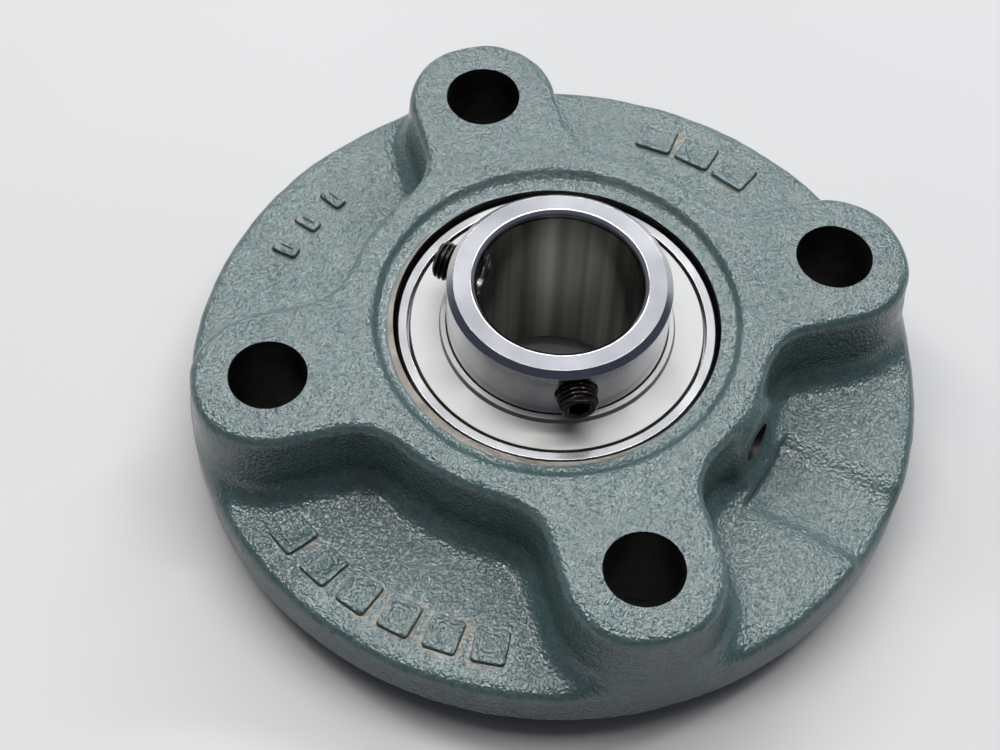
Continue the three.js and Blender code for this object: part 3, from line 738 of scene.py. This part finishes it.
def build_seals_and_slingers(sheet, slinger_steel, rubber_material):
    for place, side in (("upper", 1), ("lower", -1)):
        seal_top = SEAL_HEIGHT + SEAL_SHEET
        rim_inside = SEAL_CORE_OUTER - SEAL_SHEET
        core = [
            (SEAL_CORE_INNER, SEAL_HEIGHT, 0.05), (SEAL_CORE_OUTER, SEAL_HEIGHT, 0.4),
            (SEAL_CORE_OUTER, SEAL_RIM_TOP, 0.1), (rim_inside, SEAL_RIM_TOP, 0.1),
            (rim_inside, seal_top, 0.15), (SEAL_CORE_INNER, seal_top, 0.05),
        ]
        lip = [
            (SEAL_LIP_OUTER, SEAL_HEIGHT, 0.1), (SEAL_LIP_OUTER, seal_top, 0.1), (17.35, SEAL_LIP_TOP, 0.1),
            (SEAL_LIP_INNER, SEAL_LIP_TOP, 0.05), (SEAL_LIP_INNER, 6.6, 0.1),
        ]
        disc = [
            (SLINGER_INNER, 8.2, 0.05), (22.2, 7.9, 0.1), (22.3, SLINGER_EDGE_LOW, 0.05),
            (SLINGER_OUTER, SLINGER_EDGE_LOW, 0.05), (SLINGER_OUTER, SLINGER_EDGE_TOP, 0.08),
            (SLINGER_HUB + 0.1, 8.5, 0.15), (SLINGER_HUB, SLINGER_HUB_TOP - 0.05, 0.2),
            (SLINGER_INNER, SLINGER_HUB_TOP, 0.1),
        ]
        outer, inner = "outer_ring_body", "inner_ring_body"
        for name, profile, material, body, node, slot in (
            ("seal_plate", core, sheet, outer, "seal_core", "seal_steel"),
            ("seal_wiper", lip, rubber_material, outer, "seal_lip", "seal_rubber"),
            ("slinger_disc", disc, slinger_steel, inner, "slinger", "slinger_steel"),
        ):
            mesh_parts = turned_mesh(rounded_profile(on_side(side, profile)), 192)
            piece(f"{place}_{name}", mesh_parts, material, body, f"{place}_{node}", slot)


def build_set_screws(material):
    for number in (1, 2):
        vertices, faces = screw_mesh()
        vertices[:, 2] += SCREW_END_RADIUS
        placed = along_axis(vertices, screw_angle(number), SCREW_HEIGHT)
        piece(f"threaded_set_screw_{number}", (placed, faces), material,
              f"set_screw_{number}_body", f"set_screw_{number}", "black_screw", 24)


def ball_mesh():
    rows = [round_loop(math.sin(a), -math.cos(a), 40) for a in np.linspace(0.08, math.pi - 0.08, 24)]
    return loops_mesh(rows)


def build_balls(material):
    vertices, faces = ball_mesh()
    vertices /= np.linalg.norm(vertices, axis=1)[:, None]
    for number in range(1, BALL_COUNT + 1):
        low, high = box_mm(f"ball_{number}")
        centre = np.array((low + high) / 2)
        piece(f"steel_ball_{number}", (vertices * BALL_RADIUS + centre, faces), material,
              f"ball_{number}_body", f"ball_{number}", "ball_steel", 80)


def cage_mesh(side):
    """A pressed ribbon that arches over each ball."""
    steps = 28
    inner, outer = CAGE_POCKET_RADIUS, CAGE_POCKET_RADIUS + CAGE_THICKNESS
    half_angle = math.asin(outer / PITCH_RADIUS)
    loops = []
    for number in range(BALL_COUNT):
        for local in np.linspace(-half_angle, half_angle, steps):
            angle = number * 2 * math.pi / BALL_COUNT + local
            along = PITCH_RADIUS * math.sin(local)
            near = max(CAGE_SPLIT, math.sqrt(max(inner ** 2 - along ** 2, 0)))
            far = max(CAGE_SPLIT + CAGE_THICKNESS, math.sqrt(max(outer ** 2 - along ** 2, 0)))
            section = rounded_profile([
                (CAGE_INNER_RADIUS, near, 0.1), (CAGE_OUTER_RADIUS, near, 0.1),
                (CAGE_OUTER_RADIUS, far, 0.1), (CAGE_INNER_RADIUS, far, 0.1),
            ], 2)
            r, z = section.T
            z = BEARING_CENTRE + side * z
            loops.append(np.stack([r * math.cos(angle), r * math.sin(angle), z], -1))
    vertices, faces = loops_mesh(loops, closed=True)
    return vertices, [face[::-1] for face in faces] if side < 0 else faces


def build_cage(material):
    for place, side in (("upper", 1), ("lower", -1)):
        piece(f"{place}_pressed_cage", cage_mesh(side), material,
              "cage_body", f"{place}_cage_half", "cage_steel", 40)
    head, grip = RIVET_HEAD_RADIUS, RIVET_GRIP
    corners = [
        (0.01, -grip - 0.5, 0), (0.6, -grip - 0.47, 0.3), (head, -grip - 0.2, 0.1), (head, -grip, 0.05),
        (RIVET_RADIUS, -grip, 0), (RIVET_RADIUS, grip, 0), (head, grip, 0.05), (head, grip + 0.2, 0.1),
        (0.6, grip + 0.47, 0.3), (0.01, grip + 0.5, 0),
    ]
    vertices, faces = turned_mesh(rounded_profile(corners), 24)
    for number in range(1, BALL_COUNT + 1):
        low, high = box_mm(f"cage_rivet_{number}")
        centre = np.array((low + high) / 2)
        piece(f"domed_rivet_{number}", (vertices + centre, faces), material,
              "cage_body", f"cage_rivet_{number}", "cage_steel")


def build_pin(material):
    low, high = box_mm("locking_pin")
    corners = [(0.01, low.y, 0), (PIN_RADIUS, low.y, 0.25), (PIN_RADIUS, high.y, 0.25), (0.01, high.y, 0)]
    vertices, faces = turned_mesh(rounded_profile(corners), 32)
    placed = along_axis(vertices, math.pi / 2, BEARING_CENTRE)
    piece("hardened_locking_pin", (placed, faces), material, "pin_body", "locking_pin", "pin_steel")


def build_grease_thread(material):
    lining = tapped_wall_mesh(GREASE_HOLE_RADIUS + 0.3, GREASE_HOLE_RADIUS + 0.05, GREASE_HOLE_RADIUS - 0.35,
                              SEAT_RADIUS + 0.3, GREASE_PAD_FACE - 0.9, 0.75)
    placed = along_axis(lining[0], 0, GREASE_HOLE_HEIGHT)
    piece("grease_hole_thread", (placed, lining[1]), material, "housing_body", None, "housing_iron")


# ---------------------------------------------------------------- materials

class Graph:
    """A material's node tree, with short calls for the nodes used here."""

    def __init__(self, name):
        self.material = bpy.data.materials.new(name)
        self.material.use_nodes = True
        self.nodes = self.material.node_tree.nodes
        self.links = self.material.node_tree.links
        self.nodes.clear()
        output = self.nodes.new("ShaderNodeOutputMaterial")
        self.shader = self.nodes.new("ShaderNodeBsdfPrincipled")
        self.links.new(self.shader.outputs["BSDF"], output.inputs["Surface"])
        self.where = self.nodes.new("ShaderNodeTexCoord").outputs["Object"]

    def put(self, value, socket):
        """Links an output to a socket, or sets the socket to a number or colour."""
        if isinstance(value, bpy.types.NodeSocket):
            self.links.new(value, socket)
        else:
            socket.default_value = value

    def set(self, name, value):
        self.put(value, self.shader.inputs[name])

    def noise(self, scale, detail=2.0, roughness=0.5, at=None):
        node = self.nodes.new("ShaderNodeTexNoise")
        self.put(at or self.where, node.inputs["Vector"])
        node.inputs["Scale"].default_value = scale
        node.inputs["Detail"].default_value = detail
        node.inputs["Roughness"].default_value = roughness
        return node.outputs["Fac"]

    def ramp(self, value, stops):
        node = self.nodes.new("ShaderNodeValToRGB")
        elements = node.color_ramp.elements
        while len(elements) < len(stops):
            elements.new(0.5)
        for element, (position, colour) in zip(elements, stops):
            element.position = position
            element.color = (*colour, 1)
        self.put(value, node.inputs["Fac"])
        return node.outputs["Color"]

    def span(self, value, low, high, to_low, to_high):
        node = self.nodes.new("ShaderNodeMapRange")
        for key, number in (("From Min", low), ("From Max", high), ("To Min", to_low), ("To Max", to_high)):
            node.inputs[key].default_value = number
        self.put(value, node.inputs["Value"])
        return node.outputs["Result"]

    def math(self, operation, first, second=0.0):
        node = self.nodes.new("ShaderNodeMath")
        node.operation = operation
        self.put(first, node.inputs[0])
        self.put(second, node.inputs[1])
        return node.outputs["Value"]

    def mix_colour(self, share, first, second):
        node = self.nodes.new("ShaderNodeMix")
        node.data_type = "RGBA"
        colours = [socket for socket in node.inputs if socket.type == "RGBA"]
        self.put(share, node.inputs["Factor"])
        self.put(first, colours[0])
        self.put(second, colours[1])
        return next(socket for socket in node.outputs if socket.type == "RGBA")

    def bump(self, height, distance, normal=None):
        node = self.nodes.new("ShaderNodeBump")
        self.put(distance, node.inputs["Distance"])
        self.put(height, node.inputs["Height"])
        if normal is not None:
            self.put(normal, node.inputs["Normal"])
        return node.outputs["Normal"]

    def attribute(self, name):
        node = self.nodes.new("ShaderNodeAttribute")
        node.attribute_name = name
        return node.outputs["Fac"]

    def facing_up(self):
        """How far a surface faces up: 1 on level faces, 0 on upright walls."""
        split = self.nodes.new("ShaderNodeSeparateXYZ")
        coordinates = self.nodes.new("ShaderNodeTexCoord")
        self.put(coordinates.outputs["Normal"], split.inputs["Vector"])
        return split.outputs["Z"]

    def polar(self):
        """Radius, angle and height of a place about the bearing axis."""
        split = self.nodes.new("ShaderNodeSeparateXYZ")
        self.put(self.where, split.inputs["Vector"])
        x, y, z = (split.outputs[key] for key in "XYZ")
        squares = self.math("ADD", self.math("MULTIPLY", x, x), self.math("MULTIPLY", y, y))
        return self.math("SQRT", squares), self.math("ARCTAN2", y, x), z

    def joined(self, x, y):
        node = self.nodes.new("ShaderNodeCombineXYZ")
        self.put(x, node.inputs["X"])
        self.put(y, node.inputs["Y"])
        return node.outputs["Vector"]


def housing_finish():
    """Grey-green enamel over a sand-cast skin. It ends in a bare band round the seat."""
    graph = Graph("enamelled_cast_iron")
    foot = graph.attribute("mark_foot")
    edge = graph.attribute("bare_distance")
    ragged = graph.noise(300, 3)
    edge = graph.math("ADD", edge, graph.span(ragged, 0.3, 0.7, -0.06, 0.06))
    painted = graph.span(edge, -0.03, 0.03, 0, 1)

    broad = graph.noise(70, 3)
    mottle = graph.noise(900, 3)
    paint = graph.ramp(broad, [(0.3, PAINT_DARK), (0.7, PAINT_LIGHT)])
    paint = graph.mix_colour(graph.span(mottle, 0.45, 0.65, 0, 0.35), paint, (*PAINT_DEEP_TONE_AND_SHADE, 1))
    # painted shade: the paint darkens at the foot of each raised mark, where the crease lies in shade
    paint = graph.mix_colour(graph.span(foot, 0, 0.7, 0, 0.9), paint, (*PAINT_DEEP_TONE_AND_SHADE, 1))
    grime = graph.math("MULTIPLY", graph.span(foot, 0.1, 0.6, 0, 1), graph.span(broad, 0.48, 0.56, 0, 0.7))
    paint = graph.mix_colour(grime, paint, (*GRIME, 1))
    iron = graph.ramp(graph.noise(300, 4), [(0.3, BARE_IRON_DARK), (0.7, BARE_IRON_LIGHT)])
    graph.set("Base Color", graph.mix_colour(painted, iron, paint))
    graph.set("Metallic", graph.span(painted, 0, 1, 1, 0))
    gloss = graph.span(graph.noise(240, 2), 0.35, 0.65, 0.14, 0.22)
    dullness = graph.math("ADD", graph.span(painted, 0, 1, 0.2, 0), graph.span(foot, 0.1, 0.7, 0, 0.1))
    graph.set("Roughness", graph.math("ADD", gloss, dullness))
    graph.set("Specular IOR Level", 1.0)

    level = graph.ramp(graph.facing_up(), GRAIN_BY_SLOPE)
    skin = graph.math("MULTIPLY", level, graph.span(edge, 0.1, 0.9, 0.15, 1))
    skin = graph.math("MULTIPLY", skin, graph.span(foot, 0, 0.5, 1, 0.2))
    normal = graph.bump(graph.noise(620, 1), graph.math("MULTIPLY", skin, 0.00014))
    normal = graph.bump(graph.noise(1950, 1.5), graph.math("MULTIPLY", skin, 0.00043), normal)
    normal = graph.bump(graph.noise(3000, 1), graph.math("MULTIPLY", skin, 0.00007), normal)
    graph.set("Normal", normal)
    return graph.material


def cut_iron(name, dark, light):
    """Cast iron left bare by the cutter, with turning lines."""
    graph = Graph(name)
    radius, _, height = graph.polar()
    stain = graph.noise(260, 4)
    graph.set("Base Color", graph.ramp(stain, [(0.3, dark), (0.7, light)]))
    graph.set("Roughness", graph.span(stain, 0.3, 0.7, 0.34, 0.5))
    graph.set("Metallic", 1.0)
    lines = graph.noise(5200, 3, 0.6, graph.joined(radius, height))
    graph.set("Normal", graph.bump(lines, 0.00003))
    return graph.material


def steel(name, colour, roughness, turning, scratches=0.0, painted_bore_shade=False):
    """Bare steel with fine turning lines round the axis and scratches across them.

    Turning and scratches are the depths of the lines, in metres.
    """
    graph = Graph(name)
    radius, angle, height = graph.polar()
    smudge = graph.noise(110, 4)
    turned = graph.noise(6000, 3, 0.7, graph.joined(radius, height))
    normal = graph.bump(turned, turning)
    if scratches:
        across = graph.noise(1, 3, 0.8, graph.joined(graph.math("MULTIPLY", angle, 160.0),
                                                     graph.math("MULTIPLY", radius, 300.0)))
        normal = graph.bump(across, scratches, normal)
    graph.set("Normal", normal)
    light = tuple(min(1, channel * 1.08) for channel in colour)
    dark = tuple(channel * 0.9 for channel in colour)
    base = graph.ramp(smudge, [(0.3, dark), (0.7, light)])
    if painted_bore_shade:
        # painted shade and painted reflection: the bore is darkened, with lighter bands round it in place of
        # reflections
        bands = graph.noise(1, 2, 0.6, graph.joined(graph.math("MULTIPLY", angle, 2.6), 0.0))
        bore_shade_and_reflection = graph.ramp(bands, [(0.38, BORE_SHADE_DARK), (0.62, BORE_REFLECTION_LIGHT)])
        in_bore = graph.span(radius, (BORE_RADIUS + 0.1) * MM, (BORE_RADIUS + 0.5) * MM, 1, 0)
        base = graph.mix_colour(in_bore, base, bore_shade_and_reflection)
    graph.set("Base Color", base)
    graph.set("Roughness", graph.span(smudge, 0.3, 0.7, roughness * 0.85, roughness * 1.2))
    graph.set("Metallic", 1.0)
    return graph.material


def rubber():
    graph = Graph("seal_rubber")
    grain = graph.noise(2500, 3)
    graph.set("Normal", graph.bump(grain, 0.00003))
    graph.set("Roughness", graph.span(grain, 0.3, 0.7, 0.5, 0.65))
    graph.set("Base Color", graph.ramp(grain, [(0.3, (0.010, 0.010, 0.012)), (0.7, (0.018, 0.018, 0.020))]))
    return graph.material


# ---------------------------------------------------------------- stage

AZIMUTH = math.radians(28.4)
ELEVATION = math.radians(56.94)
ROLL = math.radians(2.04)
DISTANCE = 0.330
AIM = Vector((-0.01104, 0.00177, 0.0))
FOCAL_WIDTHS = 1.98855  # focal length in picture widths
PAN = (0.00124, -0.00198)  # small turn of the view to the right and down, in radians

ROOM_AZIMUTH = 208
ROOM_ELEVATION = 60
ROOM_COLOURS = [
    (0.0, (0.07, 0.075, 0.09)), (0.6, (0.05, 0.055, 0.085)), (0.85, (0.20, 0.21, 0.24)),
    (0.94, (0.50, 0.51, 0.55)), (1.0, (0.80, 0.81, 0.86)),
]
ROOM_STRENGTH = 1.0
FLOOR_HALF_SIZE = 3.0
FLOOR_GREYS = [(0.3, (0.47, 0.47, 0.47)), (0.7, (0.51, 0.51, 0.51))]
SOFT_LIGHTS = [  # name, azimuth, elevation, distance, size, radiance, colour
    ("ceiling_strip", 208, 88, 1.5, (1.8, 0.35), 4, (1.0, 0.96, 0.90)),
    ("upper_rear_strip", 208, 75, 1.6, (2.0, 0.05), 39.5, (0.98, 0.99, 1.0)),
    ("rear_strip", 208, 38, 1.7, (2.2, 0.06), 40.5, (0.98, 0.99, 1.0)),
    ("left_strip", 150, 50, 1.6, (0.12, 1.0), 9, (0.93, 0.97, 1.0)),
    ("right_strip", 262, 50, 1.6, (0.12, 1.0), 9, (1.0, 0.97, 0.93)),
]


def view_axes(azimuth, elevation, roll):
    """The camera's right, up and back directions."""
    back = Vector((math.sin(azimuth) * math.cos(elevation), -math.cos(azimuth) * math.cos(elevation),
                   math.sin(elevation)))
    right = Vector((math.cos(azimuth), math.sin(azimuth), 0))
    up = back.cross(right)
    turned_right = right * math.cos(roll) + up * math.sin(roll)
    turned_up = up * math.cos(roll) - right * math.sin(roll)
    return turned_right, turned_up, back


def add_camera():
    right, up, back = view_axes(AZIMUTH, ELEVATION, ROLL)
    place = AIM + back * DISTANCE
    back = (back - right * PAN[0] - up * PAN[1]).normalized()
    right = up.cross(back).normalized()
    up = back.cross(right)
    data = bpy.data.cameras.new("camera")
    data.sensor_width = 36
    data.lens = FOCAL_WIDTHS * data.sensor_width
    data.clip_start = 0.01
    data.clip_end = 20
    camera = bpy.data.objects.new("camera", data)
    camera.matrix_world = Matrix((right, up, back)).transposed().to_4x4()
    camera.matrix_world.translation = place
    bpy.context.scene.collection.objects.link(camera)
    bpy.context.scene.camera = camera


def add_soft_light(name, azimuth, elevation, distance, size, radiance, colour):
    """A rectangular light that looks at the object and stays level. Azimuth 0 is in front."""
    a, e = math.radians(azimuth), math.radians(elevation)
    back = Vector((math.sin(a) * math.cos(e), -math.cos(a) * math.cos(e), math.sin(e)))
    right = Vector((math.cos(a), math.sin(a), 0))
    up = back.cross(right)
    data = bpy.data.lights.new(name, "AREA")
    data.shape = "RECTANGLE"
    data.size, data.size_y = size
    data.energy = radiance * math.pi * size[0] * size[1]
    data.color = colour
    light = bpy.data.objects.new(name, data)
    light.matrix_world = Matrix((right, up, back)).transposed().to_4x4()
    light.matrix_world.translation = back * distance
    bpy.context.scene.collection.objects.link(light)


def add_floor():
    mesh = bpy.data.meshes.new("floor")
    half = FLOOR_HALF_SIZE
    corners = [(-half, -half, 0), (half, -half, 0), (half, half, 0), (-half, half, 0)]
    mesh.from_pydata(corners, [], [(0, 1, 2, 3)])
    graph = Graph("pale_floor")
    graph.set("Base Color", graph.ramp(graph.noise(6, 2), FLOOR_GREYS))
    graph.set("Roughness", 0.5)
    mesh.materials.append(graph.material)
    floor = bpy.data.objects.new("floor", mesh)
    bpy.context.scene.collection.objects.link(floor)


def add_world():
    """A soft room: pale behind the object, dim and cool in front of it."""
    world = bpy.data.worlds.new("studio")
    bpy.context.scene.world = world
    world.use_nodes = True
    nodes, links = world.node_tree.nodes, world.node_tree.links
    direction = nodes.new("ShaderNodeTexCoord").outputs["Generated"]
    a, e = math.radians(ROOM_AZIMUTH), math.radians(ROOM_ELEVATION)
    toward = nodes.new("ShaderNodeVectorMath")
    toward.operation = "DOT_PRODUCT"
    links.new(direction, toward.inputs[0])
    toward.inputs[1].default_value = (math.sin(a) * math.cos(e), -math.cos(a) * math.cos(e), math.sin(e))
    ramp = nodes.new("ShaderNodeValToRGB")
    elements = ramp.color_ramp.elements
    while len(elements) < len(ROOM_COLOURS):
        elements.new(0.5)
    for element, (position, colour) in zip(elements, ROOM_COLOURS):
        element.position = position
        element.color = (*colour, 1)
    spread = nodes.new("ShaderNodeMapRange")
    spread.inputs["From Min"].default_value = -1
    links.new(toward.outputs["Value"], spread.inputs["Value"])
    links.new(spread.outputs["Result"], ramp.inputs["Fac"])
    links.new(ramp.outputs["Color"], nodes["Background"].inputs["Color"])
    nodes["Background"].inputs["Strength"].default_value = ROOM_STRENGTH


# ---------------------------------------------------------------- build

bpy.context.scene.view_settings.view_transform = "Standard"
add_camera()
add_floor()
add_world()
for soft_light in SOFT_LIGHTS:
    add_soft_light(*soft_light)

# painted shade: the bored and drilled iron is darkened to stand in for the shade inside the holes, slots and
# seat
shaded_bored_iron = cut_iron("shade_darkened_bored_iron", BORED_IRON_SHADE_DARK, BORED_IRON_SHADE_LIGHT)
build_housing(housing_finish(), shaded_bored_iron, cut_iron("faced_iron", BARE_IRON_DARK, BARE_IRON_LIGHT))
ground = steel("ground_steel", (0.62, 0.62, 0.64), 0.18, turning=0.000003, scratches=0.000003,
               painted_bore_shade=True)
turned = steel("turned_steel", (0.60, 0.60, 0.60), 0.22, turning=0.000006)
satin = steel("satin_sheet_steel", (0.35, 0.35, 0.345), 0.5, turning=0.000003)
coated = steel("coated_seal_steel", (0.030, 0.030, 0.032), 0.5, turning=0.000003)
cage_sheet = steel("pressed_cage_steel", (0.42, 0.41, 0.39), 0.4, turning=0.000003)
polished = steel("polished_ball_steel", (0.66, 0.66, 0.67), 0.07, turning=0.000001)
oxide = steel("black_oxide_steel", (0.055, 0.048, 0.042), 0.30, turning=0.000003, scratches=0.000004)
dull_iron = steel("bare_thread_iron", (0.10, 0.09, 0.08), 0.3, turning=0.000004)
build_inner_ring(ground)
build_outer_ring(turned)
build_seals_and_slingers(coated, satin, rubber())
build_set_screws(oxide)
build_balls(polished)
build_cage(cage_sheet)
build_pin(turned)
build_grease_thread(dull_iron)
